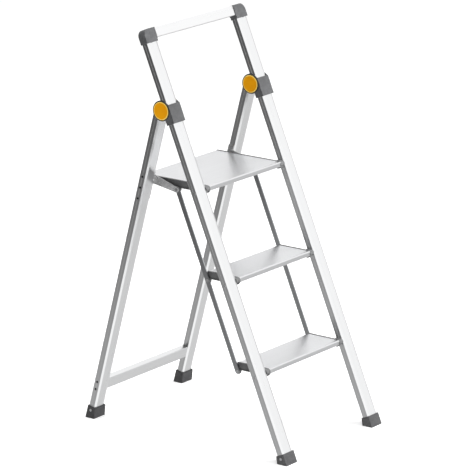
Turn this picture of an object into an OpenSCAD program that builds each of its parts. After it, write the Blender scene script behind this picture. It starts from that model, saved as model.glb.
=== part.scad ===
// Folding three-step stool with a hand rail: two leaning frames hinged near the top,
// a platform and two treads kept level by link rods, and fold arms to the rear frame.
// Millimetres. +Z is up and the front faces -Y.

/* [Overall] */
// Outside width over the stiles
frame_w = 429.6; // [370:0.1:520]
// Rise from the floor to the first tread, and from each tread to the next
step_rise = 230; // [190:1:280]
// Lean of the front stiles from upright, in degrees
front_lean = 23.02; // [20:0.01:26]
// Lean of the rear stiles from upright, in degrees
rear_lean = 14.95; // [12:0.01:18]
// Reach of the hand rail's top above the platform, along the stile
rail_reach = 434.8; // [350:0.1:530]
// Reach of the main hinge above the platform, along the stile
hinge_reach = 222.3; // [180:0.1:260]

/* [Stiles] */
// Width of a front stile, seen from the front
stile_w = 42; // [34:0.1:48]
// Depth of every stile, front to back
stile_d = 19.8; // [16:0.1:22]
// Wall of the extruded tubes
tube_wall = 1.6; // [1.2:0.1:2.4]
// Outer corner radius of the tubes
tube_round = 1.8; // [1.3:0.1:2.5]
// Width of the sloped edges of a stile's front face
bevel_w = 7; // [4:0.5:10]
// Depth of those sloped edges
bevel_d = 2.4; // [1.5:0.1:3.4]
// Width of the shallow line along each stile's side faces
line_w = 2.4; // [1:0.1:4]
// Depth of that line
line_d = 0.5; // [0.2:0.1:0.8]

/* [Hand rail] */
// Height of the hand rail bar, along the stile
bar_h = 27; // [22:0.5:36]
// Thickness of the corner caps outside the tubes
cap_skin = 1.4; // [1:0.1:3]
// Height of a corner cap along the stile
corner_h = 37.2; // [32:0.1:50]
// Outer corner radius of a corner cap
corner_round = 19; // [8:0.5:24]
// How far plugs reach into the tubes
plug_len = 24; // [15:0.5:40]

/* [Main hinge] */
// Gap between the folded front and rear stiles
fold_gap = 10; // [9:0.1:14]
// Radius of the bracket's round ears
ear_r = 27.3; // [22:0.1:36]
// Thickness of the bracket's walls
ear_wall = 3; // [2.5:0.1:5]
// Thickness of the bracket's front web
ear_front = 3.4; // [2:0.1:6]
// Side play between the ears and the rear stile
ear_play = 0.4; // [0.2:0.05:1]
// How far the bracket reaches below the hinge
bracket_drop = 41.5; // [35:0.5:60]
// How far the bracket's front web reaches above the hinge
bracket_rise = 9; // [5:0.5:15]
// Radius of the hinge pin
hinge_pin_r = 2.8; // [2.4:0.05:3.2]
// Radius of the yellow hinge caps
hinge_cap_r = 24.8; // [18:0.1:33]
// Thickness of the yellow hinge caps
hinge_cap_t = 2.2; // [1.5:0.1:4]

/* [Treads] */
// Gap from a front stile's inner side to the end of a tread plate
end_gap = 16.4; // [15.5:0.1:20]
// Depth of the two treads' tops
tread_depth = 101.2; // [84:0.1:122]
// Depth of the platform's top
platform_depth = 213.3; // [175:0.1:245]
// Thickness of the tread plates' skin
skin_t = 2.2; // [1.5:0.1:4]
// Height of the front and rear lips
lip_h = 13.4; // [9:0.1:15]
// Height of the end caps
endcap_h = 20.6; // [18:0.1:24]
// How far a tread's front edge stands in front of its pivot
nose_reach = 7; // [6:0.1:12]
// Depth of the pivots below the tread's top
pivot_drop = 11; // [9:0.1:14]
// Radius of the tread pivot rivets
pivot_r = 3; // [2:0.05:3.4]

/* [Links] */
// Distance from a tread's front pivot back to its rod pivot
rod_back = 93; // [77:0.5:112]
// Drop from a tread's front pivot down to its rod pivot
rod_drop = 13; // [12:0.1:18]
// Width of the link rods
rod_w = 13.4; // [10:0.1:14]
// Thickness of the link rods and fold arms
link_t = 3; // [2:0.1:3.2]
// Width of a fold arm at its rear end
arm_w = 25; // [18:0.5:26]
// Set-back of the fold arm's pivot behind the rear stile's front face
arm_back = 2.8; // [1:0.1:6]

/* [Feet] */
// Height of the feet along the stile
foot_h = 31.5; // [26:0.5:45]
// Thickness of the feet round the stile
foot_skin = 2.2; // [1.6:0.1:4]
// Extra spread of the feet at the floor, on the side facing the other frame
foot_flare = 6; // [3:0.5:10]

/* [Rear brace] */
// Height of the rear brace's lower edge, along the rear stile
brace_at = 80; // [60:1:140]
// Height of the rear brace
brace_h = 32; // [26:0.5:45]

/* [Hidden] */
$fn = 64;
eps = 0.01;
run_gap = 0.05;
fix_gap = 0.03;
side_gap = 0.5;
slide_gap = 0.1;
layer_gap = 0.4;
aluminium = [0.80, 0.81, 0.83];
tread_aluminium = [0.78, 0.80, 0.82];
link_aluminium = [0.62, 0.63, 0.65];
grey_plastic = [0.42, 0.43, 0.45];
foot_rubber = [0.20, 0.20, 0.21];
cap_yellow = [0.93, 0.64, 0.03];
rivet_steel = [0.72, 0.72, 0.73];

half_w = frame_w / 2;
inner_x = half_w - stile_w;
rear_outer_x = half_w - ear_play;
rear_inner_x = inner_x + ear_play;
rear_w = rear_outer_x - rear_inner_x;
ear_out_x = half_w + ear_wall;
ear_in_x = inner_x - ear_wall;

fold_angle = front_lean + rear_lean;
tread_fold = 90 - front_lean;

// Along the front stile: heights measured on its front face
platform_s = 3 * step_rise / cos(front_lean);
bar_top_s = platform_s + rail_reach;
bar_low_s = bar_top_s - bar_h;
hinge_s = platform_s + hinge_reach;
hinge_p = stile_d + fold_gap / 2;
stile_top_s = bar_low_s;
front_foot_s = (4 + stile_d * sin(front_lean)) / cos(front_lean);
rear_foot_s = 6;

// Side view points as [y, z], before the part is centred front to back
function turn(v, a) = [v[0] * cos(a) - v[1] * sin(a), v[0] * sin(a) + v[1] * cos(a)];
function on_front(s, p) = [s * sin(front_lean) + p * cos(front_lean),
                           s * cos(front_lean) - p * sin(front_lean)];
function pivot(n) = [(n * step_rise - pivot_drop) * tan(front_lean) + stile_d / 2 / cos(front_lean),
                     n * step_rise - pivot_drop];
function rod_pivot(n) = pivot(n) + [rod_back, -rod_drop];
hinge = on_front(hinge_s, hinge_p);
rear_foot_y = hinge[0] + fold_gap / 2 / cos(rear_lean) + hinge[1] * tan(rear_lean);
function rear_s(v) = v[1] * cos(rear_lean) - (v[0] - rear_foot_y) * sin(rear_lean);
function rear_p(v) = (v[0] - rear_foot_y) * cos(rear_lean) + v[1] * sin(rear_lean);
hinge_rs = rear_s(hinge);
rear_top_s = hinge_rs - 10;

// The fold arm's rear pivot is as far from the rod pivot when open as when folded
rod_top = rod_pivot(3);
rod_top_folded = pivot(3) + turn([rod_back, -rod_drop], tread_fold);
rod_top_seen = hinge + turn(rod_top_folded - hinge, fold_angle);
chord_mid = (rod_top + rod_top_seen) / 2;
chord = rod_top_seen - rod_top;
chord_side = [chord[1], -chord[0]] / norm(chord);
rear_normal = [cos(rear_lean), sin(rear_lean)];
arm_shift = (fold_gap / 2 + arm_back - rear_normal * (chord_mid - hinge)) / (rear_normal * chord_side);
arm_pivot = chord_mid + arm_shift * chord_side;
arm_s = rear_s(arm_pivot);
arm_p = rear_p(arm_pivot);
arm_len = norm(rod_top - arm_pivot);
arm_tilt = atan2(arm_pivot[1] - rod_top[1], arm_pivot[0] - rod_top[0]);

// The part is centred front to back over its feet
front_reach = -foot_skin / cos(front_lean);
rear_reach = rear_foot_y + (stile_d + foot_skin) / cos(rear_lean);
mid_y = (front_reach + rear_reach) / 2;

// Layers across the part, measured outwards from the middle
plate_x = inner_x - end_gap;
web_t = 2.4;
endcap_t = 5;
endcap_x = plate_x + endcap_t;
block_x = inner_x - side_gap;
rod_in_x = endcap_x + layer_gap;
rod_out_x = rod_in_x + link_t;
arm_gap = 1.9;
arm_in_x = rod_out_x + arm_gap;
arm_out_x = arm_in_x + link_t;
fitting_gap = 0.6;
fitting_in_x = arm_out_x + fitting_gap;
over = 1;
drill = 5;
rivet_head_t = 0.9;
rivet_head_r = 3.6;
tread_head_r = 4;
rod_head_r = 4.2;
stud_head_r = 4.4;
arm_head_r = 4.6;
screw_head_r = 3.2;
screw_head_t = 1.6;
pin_stand = 0.3;
pin_head_t = 1;
cap_proud = 0.6;
nose_proud = 1.6;
block_reach = 12;
back_web_t = 2;
back_web_h = 19;
knuckle_gap = 0.3;
fitting_edge = 3;
fitting_low = 57;
fitting_h = 79;
edge_r = 4;
tab_w = 18;
tab_h = 6;
tab_reach = 16;
foot_rivet_s = 21;
channel_r = 3.9;
lug_r = 11;
lug_out_r = 8;
bar_x = inner_x - 3.4;

brace_hole_edge = 5;
brace_rivet_s = [brace_at + brace_hole_edge, brace_at + brace_h - brace_hole_edge];
brace_rivet_p = 10.6;
fitting_rivet_s = [arm_s + 14, arm_s - 17.5, arm_s - 49];
fitting_rivet_p = 10.2;
small_rivet_r = 2.2;
access_r = 3.2;
bracket_rivet_s = hinge_s - 15;

module centred() translate([0, -mid_y, 0]) children();
module front_pose() centred() rotate([-front_lean, 0, 0]) children();
module rear_pose() centred() translate([0, rear_foot_y, 0]) rotate([rear_lean, 0, 0]) children();
module tread_pose(n) centred() translate([0, pivot(n)[0], pivot(n)[1]]) children();
module side(s) scale([s, 1, 1]) children();
module both() {
  side(1) children();
  side(-1) children();
}

// A cylinder lying across the part, from x0 to x1, at [y, z] of the local frame
module across(x0, x1, v, r) translate([x0, v[0], v[1]]) rotate([0, 90, 0]) cylinder(h = x1 - x0, r = r);
// A side view outline, in [y, z], made solid from x0 to x1
module slab(x0, x1) translate([x0, 0, 0]) rotate([90, 0, 90]) linear_extrude(x1 - x0) children();
module box(x0, x1, y0, y1, z0, z1) translate([x0, y0, z0]) cube([x1 - x0, y1 - y0, z1 - z0]);

module round_rect(w, d, r) {
  translate([r, 0]) square([w - 2 * r, d]);
  translate([0, r]) square([w, d - 2 * r]);
  for (x = [r, w - r], y = [r, d - r]) translate([x, y]) circle(r);
}

// A stile's outline drawn t inside its surface: square at the back, sloped edges at the front
module stile_inside(w, t) {
  slope = bevel_w * bevel_d + t * norm([bevel_w, bevel_d]);
  edge_x = (slope - bevel_w * t) / bevel_d;
  edge_y = (slope - bevel_d * t) / bevel_w;
  back = stile_d - t;
  polygon([[t, edge_y], [edge_x, t], [w - edge_x, t], [w - t, edge_y], [w - t, back], [t, back]]);
}

module stile_outline(w) {
  intersection() {
    round_rect(w, stile_d, tube_round);
    stile_inside(w, 0);
  }
}

// Section of a stile with its shallow side lines, x from 0 to w and y from 0 to stile_d
module stile_section(w) {
  difference() {
    stile_outline(w);
    stile_inside(w, tube_wall);
    for (x = [-eps, w - line_d]) translate([x, (stile_d - line_w) / 2]) square([line_d + eps, line_w]);
  }
}

module plug(x0, x1, s0, s1) {
  translate([x0, 0, s0]) linear_extrude(s1 - s0) stile_inside(x1 - x0, tube_wall + slide_gap);
}

module front_stile() {
  front_pose() difference() {
    translate([inner_x, 0, front_foot_s]) linear_extrude(stile_top_s - front_foot_s) stile_section(stile_w);
    centre_p = stile_d / 2;
    for (n = [1:3]) {
      s = n * step_rise / cos(front_lean) - (pivot_drop - centre_p * sin(front_lean)) / cos(front_lean);
      across(inner_x - over, half_w + over, [centre_p, s], pivot_r + fix_gap);
    }
    across(inner_x - over, half_w + over, [centre_p, bracket_rivet_s], small_rivet_r + fix_gap);
    across(half_w - drill, half_w + over, [centre_p, foot_rivet_s], small_rivet_r + fix_gap);
  }
}

module left_front_stile() color(aluminium) side(-1) front_stile();
module right_front_stile() color(aluminium) front_stile();

module handrail_bar() {
  color(aluminium) front_pose() translate([-bar_x, 0, bar_low_s]) rotate([90, 0, 90])
    linear_extrude(2 * bar_x) difference() {
      round_rect(stile_d, bar_h, tube_round);
      translate([tube_wall, tube_wall]) square([stile_d - 2 * tube_wall, bar_h - 2 * tube_wall]);
    }
}

// Front view outline of a corner cap, as [x, s]
module corner_outline() {
  out = half_w + cap_skin + 1;
  top = bar_top_s + cap_proud;
  low = top - corner_h;
  translate([out - corner_round, top - corner_round]) circle(corner_round);
  translate([inner_x - cap_skin, low]) square([out - inner_x + cap_skin, corner_h - corner_round]);
  translate([inner_x - cap_skin, low]) square([out - inner_x + cap_skin - corner_round, corner_h]);
  translate([bar_x, bar_low_s - cap_skin - cap_proud])
    square([inner_x - bar_x, top - bar_low_s + cap_skin + cap_proud]);
}

module corner_cap() {
  front_pose() {
    difference() {
      translate([0, stile_d + cap_skin, 0]) rotate([90, 0, 0])
        linear_extrude(stile_d + 2 * cap_skin) corner_outline();
      translate([inner_x, 0, 0]) linear_extrude(stile_top_s) stile_outline(stile_w);
    }
    plug(inner_x, half_w, stile_top_s - plug_len, stile_top_s + 1);
    in = tube_wall + slide_gap;
    box(bar_x - plug_len, bar_x + 1, in, stile_d - in, bar_low_s + in, bar_top_s - in);
  }
}

module left_corner_cap() color(grey_plastic) side(-1) corner_cap();
module right_corner_cap() color(grey_plastic) corner_cap();

module front_foot() {
  lean = tan(front_lean);
  deep = stile_d + foot_flare + 1;
  front_pose() difference() {
    slab(inner_x - foot_skin, half_w + foot_skin) polygon([
      [-foot_skin, foot_h],
      [-foot_skin, -foot_skin * lean],
      [deep, deep * lean],
      [stile_d + foot_skin, foot_h]
    ]);
    difference() {
      translate([inner_x, 0, front_foot_s]) linear_extrude(foot_h) stile_outline(stile_w);
      plug(inner_x, half_w, front_foot_s - 1, front_foot_s + plug_len - 8);
    }
    across(half_w - drill, half_w + drill, [stile_d / 2, foot_rivet_s], small_rivet_r + fix_gap);
  }
}

module left_front_foot() color(foot_rubber) side(-1) front_foot();
module right_front_foot() color(foot_rubber) front_foot();

module foot_rivet(x) {
  across(x - drill, x + foot_skin, [stile_d / 2, foot_rivet_s], small_rivet_r);
  across(x + foot_skin, x + foot_skin + rivet_head_t, [stile_d / 2, foot_rivet_s], rivet_head_r);
}

module front_foot_rivets() color(rivet_steel) both() front_pose() foot_rivet(half_w);

// Side view outline of the hinge bracket's ears, as [p, s]
module ear_outline() {
  translate([hinge_p, hinge_s]) circle(ear_r);
  translate([-ear_front, hinge_s - bracket_drop]) square([stile_d + back_web_t + ear_front, bracket_drop]);
  translate([-ear_front, hinge_s - eps]) square([ear_front + 5, bracket_rise]);
}

module hinge_bracket() {
  low = hinge_s - bracket_drop;
  front_pose() difference() {
    union() {
      slab(half_w, ear_out_x) ear_outline();
      slab(ear_in_x, inner_x) ear_outline();
      box(inner_x - eps, half_w + eps, -ear_front, 0, low, hinge_s + bracket_rise);
      box(inner_x - eps, half_w + eps, stile_d, stile_d + back_web_t, low, low + back_web_h);
    }
    across(ear_in_x - over, ear_out_x + over, [hinge_p, hinge_s], hinge_pin_r + fix_gap);
    across(ear_in_x - over, ear_out_x + over, [stile_d / 2, bracket_rivet_s], small_rivet_r + fix_gap);
  }
}

module left_hinge_bracket() color(grey_plastic) side(-1) hinge_bracket();
module right_hinge_bracket() color(grey_plastic) hinge_bracket();

module bracket_rivets() {
  color(rivet_steel) both() front_pose()
    across(ear_in_x, ear_out_x, [stile_d / 2, bracket_rivet_s], small_rivet_r);
}

module hinge_pin() front_pose() across(ear_in_x, ear_out_x, [hinge_p, hinge_s], hinge_pin_r);
module left_hinge_pin() color(rivet_steel) side(-1) hinge_pin();
module right_hinge_pin() color(rivet_steel) hinge_pin();

// A round cap with a sloped rim, its back on x0 and facing outwards (1) or inwards (-1)
module hinge_cap(x0, way) {
  rim = 1.4;
  front_pose() translate([x0, hinge_p, hinge_s]) rotate([0, 90 * way, 0]) union() {
    cylinder(h = hinge_cap_t - rim, r = hinge_cap_r);
    translate([0, 0, hinge_cap_t - rim]) cylinder(h = rim, r1 = hinge_cap_r, r2 = hinge_cap_r - 2 * rim);
  }
}

module left_outer_hinge_cap() color(cap_yellow) side(-1) hinge_cap(ear_out_x, 1);
module right_outer_hinge_cap() color(cap_yellow) hinge_cap(ear_out_x, 1);
module left_inner_hinge_cap() color(cap_yellow) side(-1) hinge_cap(ear_in_x, -1);
module right_inner_hinge_cap() color(cap_yellow) hinge_cap(ear_in_x, -1);

module tread_rivet(n) tread_pose(n) {
  across(plate_x + 1, half_w, [0, 0], pivot_r);
  across(half_w, half_w + rivet_head_t, [0, 0], tread_head_r);
}

module tread_pivot_rivets() color(rivet_steel) both() for (n = [1:3]) tread_rivet(n);

module rear_stile() {
  rear_pose() difference() {
    translate([rear_inner_x, 0, rear_foot_s]) linear_extrude(rear_top_s - rear_foot_s) stile_section(rear_w);
    for (s = fitting_rivet_s) {
      across(rear_inner_x - over, rear_inner_x + drill, [fitting_rivet_p, s], small_rivet_r + fix_gap);
      across(rear_outer_x - drill, rear_outer_x + over, [fitting_rivet_p, s], access_r);
    }
    for (s = brace_rivet_s) {
      across(rear_inner_x - over, rear_inner_x + drill, [brace_rivet_p, s], small_rivet_r + fix_gap);
      across(rear_outer_x - drill, rear_outer_x + over, [brace_rivet_p, s], access_r);
    }
    across(rear_outer_x - drill, rear_outer_x + over, [stile_d / 2, foot_rivet_s], small_rivet_r + fix_gap);
  }
}

module left_rear_stile() color(aluminium) side(-1) rear_stile();
module right_rear_stile() color(aluminium) rear_stile();

module rear_foot() {
  lean = tan(rear_lean);
  toe = foot_flare + 1;
  back = stile_d + foot_skin;
  rear_pose() difference() {
    slab(rear_inner_x - foot_skin, rear_outer_x + foot_skin) polygon([
      [-foot_skin, foot_h],
      [-toe, toe * lean],
      [back, -back * lean],
      [back, foot_h]
    ]);
    difference() {
      translate([rear_inner_x, 0, rear_foot_s]) linear_extrude(foot_h) stile_outline(rear_w);
      plug(rear_inner_x, rear_outer_x, rear_foot_s - 1, rear_foot_s + plug_len - 2);
    }
    across(rear_outer_x - drill, rear_outer_x + drill, [stile_d / 2, foot_rivet_s], small_rivet_r + fix_gap);
  }
}

module left_rear_foot() color(foot_rubber) side(-1) rear_foot();
module right_rear_foot() color(foot_rubber) rear_foot();
module rear_foot_rivets() color(rivet_steel) both() rear_pose() foot_rivet(rear_outer_x);

// The block that closes the rear stile's top and turns on the hinge pin
module hinge_head() {
  knuckle_r = fold_gap / 2 - knuckle_gap;
  rear_pose() difference() {
    union() {
      across(rear_inner_x, rear_outer_x, [-fold_gap / 2, hinge_rs], knuckle_r);
      box(rear_inner_x, rear_outer_x, -fold_gap / 2, stile_d, hinge_rs - knuckle_r, hinge_rs + knuckle_r);
      box(rear_inner_x, rear_outer_x, 0, stile_d, rear_top_s, hinge_rs);
      plug(rear_inner_x, rear_outer_x, rear_top_s - plug_len, rear_top_s + 1);
    }
    across(rear_inner_x - over, rear_outer_x + over, [-fold_gap / 2, hinge_rs], hinge_pin_r + run_gap);
  }
}

module left_hinge_head() color(grey_plastic) side(-1) hinge_head();
module right_hinge_head() color(grey_plastic) hinge_head();

// The brace is a box tube set back behind the stiles' sloped edges, with screw channels in its ends
module rear_brace() {
  deep = stile_d - bevel_d;
  groove_w = 1.8;
  groove_d = 0.9;
  color(aluminium) rear_pose() difference() {
    translate([-rear_inner_x, bevel_d, brace_at]) rotate([90, 0, 90])
      linear_extrude(2 * rear_inner_x) difference() {
      union() {
        difference() {
          round_rect(deep, brace_h, tube_round);
          translate([tube_wall, tube_wall]) square([deep - 2 * tube_wall, brace_h - 2 * tube_wall]);
        }
        for (s = brace_rivet_s) translate([brace_rivet_p - bevel_d, s - brace_at]) circle(channel_r);
      }
      for (s = brace_rivet_s)
        translate([brace_rivet_p - bevel_d, s - brace_at]) circle(small_rivet_r + fix_gap);
      translate([-eps, brace_h - tube_round - groove_w]) square([groove_d + eps, groove_w]);
    }
  }
}

module brace_screw(s) {
  across(rear_inner_x - 14, rear_inner_x + tube_wall, [brace_rivet_p, s], small_rivet_r);
  across(rear_inner_x + tube_wall, rear_inner_x + tube_wall + screw_head_t, [brace_rivet_p, s], screw_head_r);
}

module brace_screws() color(rivet_steel) both() rear_pose() for (s = brace_rivet_s) brace_screw(s);

module link_fitting() {
  rear_pose() difference() {
    slab(fitting_in_x, rear_inner_x) {
      translate([arm_p, arm_s]) circle(lug_r);
      translate([fitting_edge, arm_s - fitting_low]) square([stile_d - fitting_edge - layer_gap, fitting_h]);
    }
    across(fitting_in_x - over, rear_inner_x + over, [arm_p, arm_s], pivot_r + fix_gap);
    for (s = fitting_rivet_s) {
      across(fitting_in_x - over, rear_inner_x + over, [fitting_rivet_p, s], small_rivet_r + fix_gap);
    }
  }
}

module left_link_fitting() color(grey_plastic) side(-1) link_fitting();
module right_link_fitting() color(grey_plastic) link_fitting();

module fitting_rivet(s) {
  across(fitting_in_x, rear_inner_x + tube_wall, [fitting_rivet_p, s], small_rivet_r);
  head_x = rear_inner_x + tube_wall;
  across(head_x, head_x + screw_head_t, [fitting_rivet_p, s], screw_head_r);
}

module fitting_rivets() color(rivet_steel) both() rear_pose() for (s = fitting_rivet_s) fitting_rivet(s);

module arm_pivot_pins() {
  color(rivet_steel) both() rear_pose() {
    across(arm_in_x - 0.2, rear_inner_x, [arm_p, arm_s], pivot_r);
    across(arm_in_x - 1.2, arm_in_x - 0.2, [arm_p, arm_s], arm_head_r);
  }
}

// Side view section of a tread plate, as [a, h] from its front pivot
module plate_section(depth) {
  top = pivot_drop;
  rear = depth - nose_reach;
  rib_h = 14;
  rib_t = 2;
  rib_first = 22;
  rib_pitch = 36;
  rib_clear = 26;
  groove_pitch = 6;
  groove_w = 1.6;
  groove_d = 0.4;
  difference() {
    union() {
      translate([-nose_reach + edge_r, top - skin_t]) square([depth - edge_r, skin_t]);
      translate([-nose_reach + edge_r, top - edge_r]) circle(edge_r);
      translate([-nose_reach, top - lip_h]) square([skin_t, lip_h - edge_r]);
      translate([rear - skin_t, top - lip_h]) square([skin_t, lip_h]);
      for (a = [rib_first:rib_pitch:rear - rib_clear]) translate([a, top - rib_h]) square([rib_t, rib_h - eps]);
    }
    for (a = [-nose_reach + 9:groove_pitch:rear - groove_pitch]) {
      translate([a, top - groove_d]) square([groove_w, groove_d + eps]);
    }
  }
}

module tread_plate(n, depth) tread_pose(n) slab(-plate_x, plate_x) plate_section(depth);

module platform_plate() color(tread_aluminium) tread_plate(3, platform_depth);
module mid_tread_plate() color(tread_aluminium) tread_plate(2, tread_depth);
module lower_tread_plate() color(tread_aluminium) tread_plate(1, tread_depth);

// Side view outline of an end cap, as [a, h]: a rounded nose and a straight band
module endcap_band(depth, inset) {
  top = pivot_drop + cap_proud;
  r = endcap_h / 2 - inset;
  nose = -nose_reach - nose_proud + endcap_h / 2;
  rear = depth - nose_reach + cap_proud;
  translate([nose, top - endcap_h / 2]) circle(r);
  translate([nose, top - endcap_h / 2 - r]) square([rear - inset - nose, 2 * r]);
}

module endcap_block() {
  top = pivot_drop + cap_proud;
  low = -rod_drop + rod_w / 2 + layer_gap;
  r = (top - low) / 2;
  nose = -nose_reach - nose_proud + r;
  translate([nose, (top + low) / 2]) circle(r);
  translate([nose, low]) square([block_reach - nose, top - low]);
}

module endcap(n, depth) {
  top = pivot_drop + cap_proud;
  under = pivot_drop - skin_t;
  rear = depth - nose_reach;
  rim = 2;
  tread_pose(n) difference() {
    union() {
      slab(plate_x, plate_x + web_t) endcap_band(depth, 0);
      slab(plate_x + web_t - eps, endcap_x) difference() {
        endcap_band(depth, 0);
        difference() {
          endcap_band(depth, rim);
          translate([rod_back, -rod_drop]) circle(lug_out_r);
        }
      }
      slab(plate_x, endcap_x) translate([rod_back, -rod_drop]) circle(lug_out_r);
      slab(plate_x, block_x) endcap_block();
      for (a = [-nose_reach + 2 * edge_r + 1, rear - skin_t - 1 - tab_w])
        box(plate_x - tab_reach, plate_x + eps, a, a + tab_w, under - tab_h, under);
    }
    across(plate_x - eps, block_x + over, [0, 0], pivot_r + run_gap);
    across(plate_x - over, endcap_x + over, [rod_back, -rod_drop], pivot_r + run_gap);
  }
}

module left_platform_cap() color(grey_plastic) side(-1) endcap(3, platform_depth);
module right_platform_cap() color(grey_plastic) endcap(3, platform_depth);
module left_mid_tread_cap() color(grey_plastic) side(-1) endcap(2, tread_depth);
module right_mid_tread_cap() color(grey_plastic) endcap(2, tread_depth);
module left_lower_tread_cap() color(grey_plastic) side(-1) endcap(1, tread_depth);
module right_lower_tread_cap() color(grey_plastic) endcap(1, tread_depth);

module link_rod() {
  reach = 2 * step_rise / cos(front_lean);
  centred() translate([0, rod_pivot(1)[0], rod_pivot(1)[1]]) rotate([-front_lean, 0, 0]) difference() {
    slab(rod_in_x, rod_out_x) {
      translate([-rod_w / 2, 0]) square([rod_w, reach]);
      for (s = [0, reach]) translate([0, s]) circle(rod_w / 2);
    }
    for (n = [0:2]) across(rod_in_x - over, rod_out_x + over, [0, n * reach / 2], pivot_r + fix_gap);
  }
}

module left_link_rod() color(link_aluminium) side(-1) link_rod();
module right_link_rod() color(link_aluminium) link_rod();

module rod_pins() {
  for (n = [1:3]) centred() {
    across(plate_x - pin_stand, rod_out_x, rod_pivot(n), pivot_r);
    across(rod_out_x, rod_out_x + rivet_head_t, rod_pivot(n), rod_head_r);
    across(plate_x - pin_stand - pin_head_t, plate_x - pin_stand, rod_pivot(n), rod_head_r);
  }
}

module left_rod_pins() color(rivet_steel) side(-1) rod_pins();
module right_rod_pins() color(rivet_steel) rod_pins();

// Outline of a fold arm from its front eye at 0 to its rear pivot, tapering to the front
module arm_outline() {
  eye = 7.5;
  wide = arm_w / 2;
  bite = 0.3;
  circle(eye);
  translate([arm_len, 0]) circle(wide);
  polygon([[0, eye - bite], [0, bite - eye], [arm_len, bite - wide], [arm_len, wide - bite]]);
}

module fold_arm() {
  centred() translate([0, rod_top[0], rod_top[1]]) rotate([arm_tilt, 0, 0]) difference() {
    slab(arm_in_x, arm_out_x) arm_outline();
    across(arm_in_x - over, arm_out_x + over, [0, 0], pivot_r + fix_gap);
    across(arm_in_x - over, arm_out_x + over, [arm_len, 0], pivot_r + run_gap);
  }
}

module left_fold_arm() color(grey_plastic) side(-1) fold_arm();
module right_fold_arm() color(grey_plastic) fold_arm();

module arm_stud() {
  centred() {
    across(arm_in_x, arm_out_x, rod_top, pivot_r);
    across(arm_out_x, arm_out_x + rivet_head_t, rod_top, stud_head_r);
  }
}

module left_arm_stud() color(rivet_steel) side(-1) arm_stud();
module right_arm_stud() color(rivet_steel) arm_stud();

left_front_stile();
right_front_stile();
handrail_bar();
left_corner_cap();
right_corner_cap();
left_front_foot();
right_front_foot();
front_foot_rivets();
left_hinge_bracket();
right_hinge_bracket();
bracket_rivets();
left_hinge_pin();
right_hinge_pin();
left_outer_hinge_cap();
right_outer_hinge_cap();
left_inner_hinge_cap();
right_inner_hinge_cap();
tread_pivot_rivets();
left_rear_stile();
right_rear_stile();
left_rear_foot();
right_rear_foot();
rear_foot_rivets();
left_hinge_head();
right_hinge_head();
rear_brace();
brace_screws();
left_link_fitting();
right_link_fitting();
fitting_rivets();
arm_pivot_pins();
platform_plate();
left_platform_cap();
right_platform_cap();
mid_tread_plate();
left_mid_tread_cap();
right_mid_tread_cap();
lower_tread_plate();
left_lower_tread_cap();
right_lower_tread_cap();
left_link_rod();
right_link_rod();
left_rod_pins();
right_rod_pins();
left_fold_arm();
right_fold_arm();
left_arm_stud();
right_arm_stud();
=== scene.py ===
import math
import bmesh
import bpy
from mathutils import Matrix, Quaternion, Vector


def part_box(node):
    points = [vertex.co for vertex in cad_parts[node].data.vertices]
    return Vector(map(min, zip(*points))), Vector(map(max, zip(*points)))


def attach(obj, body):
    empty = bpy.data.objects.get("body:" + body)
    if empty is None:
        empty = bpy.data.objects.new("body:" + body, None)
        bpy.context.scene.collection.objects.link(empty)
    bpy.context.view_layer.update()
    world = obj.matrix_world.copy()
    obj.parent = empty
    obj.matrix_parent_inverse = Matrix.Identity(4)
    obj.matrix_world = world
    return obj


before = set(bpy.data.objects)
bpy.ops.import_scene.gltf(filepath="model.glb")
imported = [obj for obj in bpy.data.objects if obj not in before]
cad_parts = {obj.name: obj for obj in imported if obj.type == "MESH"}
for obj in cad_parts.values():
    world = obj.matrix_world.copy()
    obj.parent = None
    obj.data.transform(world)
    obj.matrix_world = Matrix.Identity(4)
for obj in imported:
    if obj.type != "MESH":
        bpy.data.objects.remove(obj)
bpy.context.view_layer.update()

FRONT_LEAN = math.radians(23.02)
REAR_LEAN = math.radians(14.95)
MM = 0.001

# The camera: where it stands, the way it looks back, its roll, and its focal length in pixels
CAM_PLACE = (-7.1614, -5.3323, 3.0049)
CAM_NUDGE_SIDE = 0.0018
CAM_NUDGE_DOWN = 0.0007
CAM_AZIMUTH = -53.344
CAM_ELEVATION = 15.571
CAM_ROLL = 0.08
FOCAL_PX = 3504.605
FRAME_PX = 470
SENSOR_MM = 36.0

BUMP_DEPTH = 0.0002
BUMP_DEPTH_FINE = 0.0001
SOFT_EDGE_ANGLE = math.radians(40)
RING_STEPS = 96
FLOOR_HALF = 14.0
FLOOR_GLOW = 0.32
ROOM_DIFFUSE = 0.58

# ---------------------------------------------------------------- materials


def new_material(name):
    mat = bpy.data.materials.new(name)
    mat.use_nodes = True
    tree = mat.node_tree
    return mat, tree.nodes, tree.links, tree.nodes["Principled BSDF"]


def grain_coords(nodes, links, turn, scale):
    """Object coordinates turned so that Z runs along the piece, then stretched."""
    coord = nodes.new("ShaderNodeTexCoord")
    rot = nodes.new("ShaderNodeMapping")
    rot.inputs["Rotation"].default_value = turn
    links.new(coord.outputs["Object"], rot.inputs["Vector"])
    size = nodes.new("ShaderNodeMapping")
    size.inputs["Scale"].default_value = scale
    links.new(rot.outputs["Vector"], size.inputs["Vector"])
    return coord, size.outputs["Vector"]


def noise(nodes, links, vector, scale, detail=4.0, rough=0.55):
    n = nodes.new("ShaderNodeTexNoise")
    n.inputs["Scale"].default_value = scale
    n.inputs["Detail"].default_value = detail
    n.inputs["Roughness"].default_value = rough
    links.new(vector, n.inputs["Vector"])
    return n.outputs["Fac"]


def span(nodes, links, value, a, b, c, d):
    m = nodes.new("ShaderNodeMapRange")
    for key, v in (("From Min", a), ("From Max", b), ("To Min", c), ("To Max", d)):
        m.inputs[key].default_value = v
    links.new(value, m.inputs["Value"])
    return m.outputs["Result"]


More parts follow.
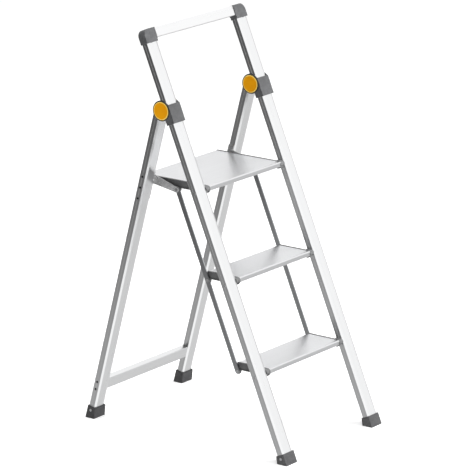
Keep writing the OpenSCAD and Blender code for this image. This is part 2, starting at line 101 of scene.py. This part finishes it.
def mix_colour(nodes, links, fac, dark, light):
    m = nodes.new("ShaderNodeMix")
    m.data_type = "RGBA"
    m.inputs["A"].default_value = (*dark, 1)
    m.inputs["B"].default_value = (*light, 1)
    links.new(fac, m.inputs["Factor"])
    return m.outputs["Result"]


def bump(nodes, links, height, strength, distance):
    b = nodes.new("ShaderNodeBump")
    b.inputs["Strength"].default_value = strength
    b.inputs["Distance"].default_value = distance
    links.new(height, b.inputs["Height"])
    return b.outputs["Normal"]


def brushed(name, turn, dark, light, rough=(0.24, 0.34), metal=1.0, grain=900.0, along=6.0):
    """Extruded aluminium: fine grain along the piece, faint die lines, a little cloudiness."""
    mat, nodes, links, shader = new_material(name)
    coord, fine = grain_coords(nodes, links, turn, (grain, grain, along))
    streak = noise(nodes, links, fine, 1.0, 5.0, 0.6)
    _, wide = grain_coords(nodes, links, turn, (grain / 6, grain / 6, along / 3))
    die = noise(nodes, links, wide, 1.0, 3.0, 0.5)
    cloud = noise(nodes, links, coord.outputs["Object"], 9.0, 4.0, 0.55)
    both = nodes.new("ShaderNodeMath")
    both.operation = "ADD"
    links.new(streak, both.inputs[0])
    links.new(die, both.inputs[1])
    half = nodes.new("ShaderNodeMath")
    half.operation = "MULTIPLY_ADD"
    half.inputs[1].default_value = 0.4
    links.new(both.outputs["Value"], half.inputs[0])
    cloudy = span(nodes, links, cloud, 0.0, 1.0, 0.0, 0.2)
    links.new(cloudy, half.inputs[2])
    tone = half.outputs["Value"]
    links.new(mix_colour(nodes, links, tone, dark, light), shader.inputs["Base Color"])
    links.new(span(nodes, links, tone, 0.2, 0.8, *rough), shader.inputs["Roughness"])
    links.new(bump(nodes, links, streak, 0.12, BUMP_DEPTH), shader.inputs["Normal"])
    shader.inputs["Metallic"].default_value = metal
    return mat


def moulded(name, dark, light, rough=(0.42, 0.6), grain=700.0, depth=0.15, gloss=0.4, mottle=14.0):
    """Moulded plastic: a spark-eroded grain, slight mottling and rubbed, lighter edges."""
    mat, nodes, links, shader = new_material(name)
    coord = nodes.new("ShaderNodeTexCoord").outputs["Object"]
    fine = noise(nodes, links, coord, grain, 2.0, 0.5)
    cloud = noise(nodes, links, coord, mottle, 5.0, 0.6)
    scuff = noise(nodes, links, coord, mottle * 7, 6.0, 0.7)
    tone = span(nodes, links, cloud, 0.3, 0.7, 0.0, 1.0)
    base = mix_colour(nodes, links, tone, dark, light)
    geometry = nodes.new("ShaderNodeNewGeometry")
    edge = span(nodes, links, geometry.outputs["Pointiness"], 0.52, 0.62, 0.0, 0.5)
    worn = nodes.new("ShaderNodeMath")
    worn.operation = "MULTIPLY"
    links.new(edge, worn.inputs[0])
    links.new(span(nodes, links, scuff, 0.35, 0.65, 0.0, 1.0), worn.inputs[1])
    rub = nodes.new("ShaderNodeMix")
    rub.data_type = "RGBA"
    rub.inputs["B"].default_value = (*[min(1.0, c * 1.9 + 0.02) for c in light], 1)
    links.new(base, rub.inputs["A"])
    links.new(worn.outputs["Value"], rub.inputs["Factor"])
    links.new(rub.outputs["Result"], shader.inputs["Base Color"])
    links.new(span(nodes, links, scuff, 0.3, 0.7, *rough), shader.inputs["Roughness"])
    links.new(bump(nodes, links, fine, depth, BUMP_DEPTH), shader.inputs["Normal"])
    shader.inputs["Specular IOR Level"].default_value = gloss
    return mat


def steel(name, dark, light, rough=(0.22, 0.4)):
    """Zinc-plated steel: a cloudy tone and a speckled plating."""
    mat, nodes, links, shader = new_material(name)
    coord = nodes.new("ShaderNodeTexCoord").outputs["Object"]
    speck = noise(nodes, links, coord, 420.0, 4.0, 0.6)
    cloud = noise(nodes, links, coord, 60.0, 4.0, 0.6)
    links.new(mix_colour(nodes, links, cloud, dark, light), shader.inputs["Base Color"])
    links.new(span(nodes, links, speck, 0.3, 0.7, *rough), shader.inputs["Roughness"])
    links.new(bump(nodes, links, speck, 0.1, BUMP_DEPTH_FINE), shader.inputs["Normal"])
    shader.inputs["Metallic"].default_value = 1.0
    return mat


ALONG_FRONT = (FRONT_LEAN, 0, 0)
ALONG_REAR = (-REAR_LEAN, 0, 0)
ALONG_X = (0, math.radians(90), 0)
RUBBER_GRAIN = {"rough": (0.5, 0.75), "grain": 500.0, "depth": 0.35, "mottle": 60.0}
MATERIALS = {
    "front_stile": brushed("front_stile_aluminium", ALONG_FRONT, (0.80, 0.805, 0.81), (0.93, 0.935, 0.94)),
    "rear_stile": brushed("rear_stile_aluminium", ALONG_REAR, (0.78, 0.785, 0.79), (0.92, 0.925, 0.93)),
    "rail": brushed("rail_aluminium", ALONG_X, (0.84, 0.845, 0.85), (0.96, 0.96, 0.965)),
    "brace": brushed("brace_aluminium", ALONG_X, (0.76, 0.765, 0.77), (0.90, 0.905, 0.91)),
    "tread": brushed("tread_aluminium", ALONG_X, (0.76, 0.765, 0.775), (0.90, 0.905, 0.915),
                     rough=(0.28, 0.4)),
    # The rods are the same aluminium as the stiles, darkened here as painted shade on their outer faces
    "rod": brushed("rod_aluminium_painted_shade", ALONG_FRONT, (0.40, 0.41, 0.42), (0.58, 0.59, 0.60)),
    "grey": moulded("grey_plastic", (0.058, 0.059, 0.061), (0.076, 0.077, 0.080)),
    "endcap": moulded("endcap_plastic", (0.085, 0.086, 0.088), (0.13, 0.131, 0.133), mottle=40.0),
    "arm": moulded("arm_plastic", (0.14, 0.14, 0.143), (0.32, 0.32, 0.324), mottle=45.0),
    "rubber": moulded("front_foot_rubber", (0.038, 0.038, 0.040), (0.068, 0.068, 0.070), **RUBBER_GRAIN),
    "rear_rubber": moulded("rear_foot_rubber", (0.022, 0.022, 0.024), (0.046, 0.046, 0.048), **RUBBER_GRAIN),
    "trim": moulded("trim_plastic", (0.020, 0.020, 0.021), (0.032, 0.032, 0.033), rough=(0.4, 0.6)),
    "bead": moulded("bead_plastic", (0.82, 0.56, 0.10), (0.92, 0.66, 0.16),
                    rough=(0.4, 0.5), depth=0.05, gloss=0.15),
    "yellow": moulded("yellow_plastic", (0.66, 0.27, 0.0), (0.76, 0.33, 0.0),
                      rough=(0.45, 0.6), depth=0.05, gloss=0.05),
    "steel": steel("plated_steel", (0.72, 0.72, 0.73), (0.92, 0.92, 0.93)),
}


def material_for(node):
    if node.endswith("front_stile"):
        return "front_stile"
    if node.endswith("rear_stile"):
        return "rear_stile"
    if node == "handrail_bar":
        return "rail"
    if node == "rear_brace":
        return "brace"
    if node.endswith("plate"):
        return "tread"
    if node.endswith("link_rod"):
        return "rod"
    if "hinge_cap" in node:
        return "yellow"
    if "platform_cap" in node or "tread_cap" in node:
        return "endcap"
    if node.endswith("foot"):
        return "rear_rubber" if "rear" in node else "rubber"
    if "fold_arm" in node or "link_fitting" in node:
        return "arm"
    if any(w in node for w in ("rivet", "pin", "screw", "stud")):
        return "steel"
    return "grey"


# Soft edges in millimetres; the stiles and the brace keep their modelled edges
BEVEL = {"rail": 0.3, "tread": 0.35, "rod": 0.5, "grey": 0.8, "endcap": 0.8, "arm": 0.7,
         "rubber": 1.0, "rear_rubber": 1.0, "yellow": 0.5, "steel": 0.35}

for node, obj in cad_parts.items():
    kind = material_for(node)
    mat = MATERIALS[kind]
    if not obj.material_slots:
        obj.data.materials.append(mat)
    for s in obj.material_slots:
        s.material = mat
    if kind in BEVEL:
        b = obj.modifiers.new("soft_edge", "BEVEL")
        b.width = BEVEL[kind] * MM
        b.segments = 2
        b.limit_method = "ANGLE"
        b.angle_limit = SOFT_EDGE_ANGLE
        b.use_clamp_overlap = True
        b.harden_normals = False

# ---------------------------------------------------------------- turned rings on the hinge caps


def turned_rings(name, kind, profile):
    """One ring on every hinge cap, turned from a closed profile of (radius, height) in millimetres."""
    bm = bmesh.new()
    turns = [2 * math.pi * i / RING_STEPS for i in range(RING_STEPS)]
    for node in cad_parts:
        if "hinge_cap" not in node:
            continue
        low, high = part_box(node)
        out = 1 if ("right" in node) == ("outer" in node) else -1
        face = low[0] if out > 0 else high[0]
        y, z = (low[1] + high[1]) / 2, (low[2] + high[2]) / 2
        loops = []
        for radius, height in profile:
            x, r = face + out * height * MM, radius * MM
            loops.append([bm.verts.new((x, y + r * math.cos(t), z + r * math.sin(t))) for t in turns])
        for i, a in enumerate(loops):
            b = loops[(i + 1) % len(loops)]
            for j in range(RING_STEPS):
                k = (j + 1) % RING_STEPS
                bm.faces.new((a[j], a[k], b[k], b[j]))
    bmesh.ops.recalc_face_normals(bm, faces=bm.faces)
    for f in bm.faces:
        f.smooth = True
    mesh = bpy.data.meshes.new(name)
    bm.to_mesh(mesh)
    bm.free()
    o = bpy.data.objects.new(name, mesh)
    mesh.materials.append(MATERIALS[kind])
    bpy.context.collection.objects.link(o)
    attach(o, "front_frame")


# The dark ring round each yellow cap, and the raised bead on its rim
TRIM_PROFILE = [(26.8, 0.1), (26.8, 0.9), (26.3, 1.6), (25.4, 1.9), (24.6, 1.8), (24.1, 1.4), (24.1, 0.1)]
BEAD_PROFILE = [(23.9, 0.9), (23.9, 1.7), (23.3, 2.2), (22.5, 2.5), (21.9, 2.5), (21.6, 2.3), (21.6, 1.9)]
turned_rings("hinge_trim_rings", "trim", TRIM_PROFILE)
turned_rings("hinge_cap_beads", "bead", BEAD_PROFILE)

# ---------------------------------------------------------------- stage, light, camera


def only_glossy(o):
    """A studio card that shows only in reflections."""
    o.visible_camera = False
    o.visible_diffuse = False
    o.visible_shadow = False
    o.visible_transmission = False
    o.visible_volume_scatter = False


def card(name, place, facing, width, stops):
    """An upright card with a brightness for each height, facing the stool."""
    mat = bpy.data.materials.new(name)
    mat.use_nodes = True
    tree = mat.node_tree
    tree.nodes.clear()
    out = tree.nodes.new("ShaderNodeOutputMaterial")
    glow = tree.nodes.new("ShaderNodeEmission")
    low, high = stops[0][0], stops[-1][0]
    coord = tree.nodes.new("ShaderNodeTexCoord")
    split = tree.nodes.new("ShaderNodeSeparateXYZ")
    tree.links.new(coord.outputs["Object"], split.inputs["Vector"])
    height = span(tree.nodes, tree.links, split.outputs["Z"], low, high, 0.0, 1.0)
    ramp = tree.nodes.new("ShaderNodeValToRGB")
    for i, (z, value) in enumerate(stops):
        at = (z - low) / (high - low)
        e = ramp.color_ramp.elements[i] if i < 2 else ramp.color_ramp.elements.new(at)
        e.position = at
        e.color = (value, value, value, 1)
    tree.links.new(height, ramp.inputs["Fac"])
    tree.links.new(ramp.outputs["Color"], glow.inputs["Color"])
    tree.links.new(glow.outputs["Emission"], out.inputs["Surface"])
    side = Vector((-facing[1], facing[0], 0)).normalized() * width / 2
    mesh = bpy.data.meshes.new(name)
    c = Vector((place[0], place[1], 0))
    corners = [c - side + Vector((0, 0, low)), c + side + Vector((0, 0, low)),
               c + side + Vector((0, 0, high)), c - side + Vector((0, 0, high))]
    mesh.from_pydata([tuple(v) for v in corners], [], [(0, 1, 2, 3)])
    o = bpy.data.objects.new(name, mesh)
    mesh.materials.append(mat)
    bpy.context.collection.objects.link(o)
    only_glossy(o)


# Height in metres and brightness, from the bottom of the card to its top
CARD_STOPS = [(-2.6, 0.50), (-0.55, 0.44), (-0.35, 0.38), (-0.2, 0.30), (0.0, 0.22),
              (0.15, 0.14), (0.3, 0.095), (0.6, 0.07), (2.2, 0.05)]
card("left_card", (-1.76, 1.32), (0.8, -0.6, 0), 7.0, CARD_STOPS)

white, _, _, shader = new_material("floor_white")
shader.inputs["Base Color"].default_value = (0.93, 0.93, 0.93, 1)
shader.inputs["Roughness"].default_value = 0.9
shader.inputs["Emission Color"].default_value = (1, 1, 1, 1)
shader.inputs["Emission Strength"].default_value = FLOOR_GLOW
mesh = bpy.data.meshes.new("floor")
floor_corners = [(sx * FLOOR_HALF, sy * FLOOR_HALF, 0) for sx, sy in ((-1, -1), (1, -1), (1, 1), (-1, 1))]
mesh.from_pydata(floor_corners, [], [(0, 1, 2, 3)])
floor = bpy.data.objects.new("floor", mesh)
floor.data.materials.append(white)
bpy.context.collection.objects.link(floor)
floor.visible_glossy = False

bpy.context.scene.view_settings.view_transform = "Standard"
world = bpy.data.worlds.new("studio")
bpy.context.scene.world = world
world.use_nodes = True
tree = world.node_tree
nodes, links = tree.nodes, tree.links
coord = nodes.new("ShaderNodeTexCoord")


def lobe(direction, low, high, a, b):
    """Brightness a away from the direction and b along it, blended between two cosines."""
    dot = nodes.new("ShaderNodeVectorMath")
    dot.operation = "DOT_PRODUCT"
    dot.inputs[1].default_value = Vector(direction).normalized()
    links.new(coord.outputs["Generated"], dot.inputs[0])
    m = nodes.new("ShaderNodeMapRange")
    m.interpolation_type = "SMOOTHSTEP"
    for key, v in (("From Min", low), ("From Max", high), ("To Min", a), ("To Max", b)):
        m.inputs[key].default_value = v
    links.new(dot.outputs["Value"], m.inputs["Value"])
    return m.outputs["Result"]


def times(a, b):
    m = nodes.new("ShaderNodeMath")
    m.operation = "MULTIPLY"
    links.new(a, m.inputs[0])
    links.new(b, m.inputs[1])
    return m.outputs["Value"]


# Studio reflections: direction, cosine where a change starts and where it is full, brightness away, along
ROOM = [
    ((-0.80, 0.60, 0.0), -0.1, 0.75, 1.12, 0.06),       # seen in the stiles' left sides
    ((0.773, -0.364, -0.519), 0.84, 0.97, 1.0, 0.88),   # seen in the rear stiles and the brace
    ((0.773, -0.575, -0.268), 0.90, 0.99, 1.0, 0.52),   # seen in the treads' front lips
    ((0.50, 0.10, -0.86), 0.78, 0.95, 1.0, 0.35),       # from below
    ((0.773, 0.575, 0.268), 0.75, 0.97, 1.0, 0.94),     # seen in the treads' tops
    ((1.0, 0.0, 0.0), 0.82, 0.97, 1.0, 0.72),           # seen in the front stiles' right slopes
]
room = lobe(*ROOM[0])
for row in ROOM[1:]:
    room = times(room, lobe(*row))
paths = nodes.new("ShaderNodeLightPath")
back_node = nodes["Background"]
glossy = nodes.new("ShaderNodeMix")
glossy.inputs["A"].default_value = ROOM_DIFFUSE
links.new(paths.outputs["Is Glossy Ray"], glossy.inputs["Factor"])
links.new(room, glossy.inputs["B"])
seen = nodes.new("ShaderNodeMix")
seen.inputs["B"].default_value = 1.0
links.new(paths.outputs["Is Camera Ray"], seen.inputs["Factor"])
links.new(glossy.outputs["Result"], seen.inputs["A"])
links.new(seen.outputs["Result"], back_node.inputs["Strength"])
back_node.inputs["Color"].default_value = (1, 1, 1, 1)


def area(name, place, aim, size, power):
    """A square lamp that lights the stool but is not reflected in it."""
    light = bpy.data.lights.new(name, "AREA")
    light.shape = "RECTANGLE"
    light.size, light.size_y = size, size
    light.energy = power
    o = bpy.data.objects.new(name, light)
    o.location = place
    o.rotation_euler = (Vector(aim) - Vector(place)).to_track_quat("-Z", "Y").to_euler()
    o.visible_glossy = False
    bpy.context.collection.objects.link(o)


area("key", (2.4, -3.4, 2.6), (0, 0, 0.5), 2.6, 205)
area("top", (0.0, 0.0, 4.5), (0, 0, 0.4), 3.5, 110)

cam_data = bpy.data.cameras.new("camera")
cam = bpy.data.objects.new("camera", cam_data)
bpy.context.collection.objects.link(cam)
cam_data.sensor_width = SENSOR_MM
cam_data.lens = FOCAL_PX / FRAME_PX * SENSOR_MM
az, el = math.radians(CAM_AZIMUTH), math.radians(CAM_ELEVATION)
back = Vector((math.sin(az) * math.cos(el), -math.cos(az) * math.cos(el), math.sin(el)))
side = Vector((math.cos(az), math.sin(az), 0))
cam.location = Vector(CAM_PLACE) + side * CAM_NUDGE_SIDE - back.cross(side) * CAM_NUDGE_DOWN
cam.rotation_mode = "QUATERNION"
cam.rotation_quaternion = Quaternion(back, math.radians(CAM_ROLL)) @ (-back).to_track_quat("-Z", "Y")
cam_data.clip_start, cam_data.clip_end = 0.5, 60
bpy.context.scene.camera = cam
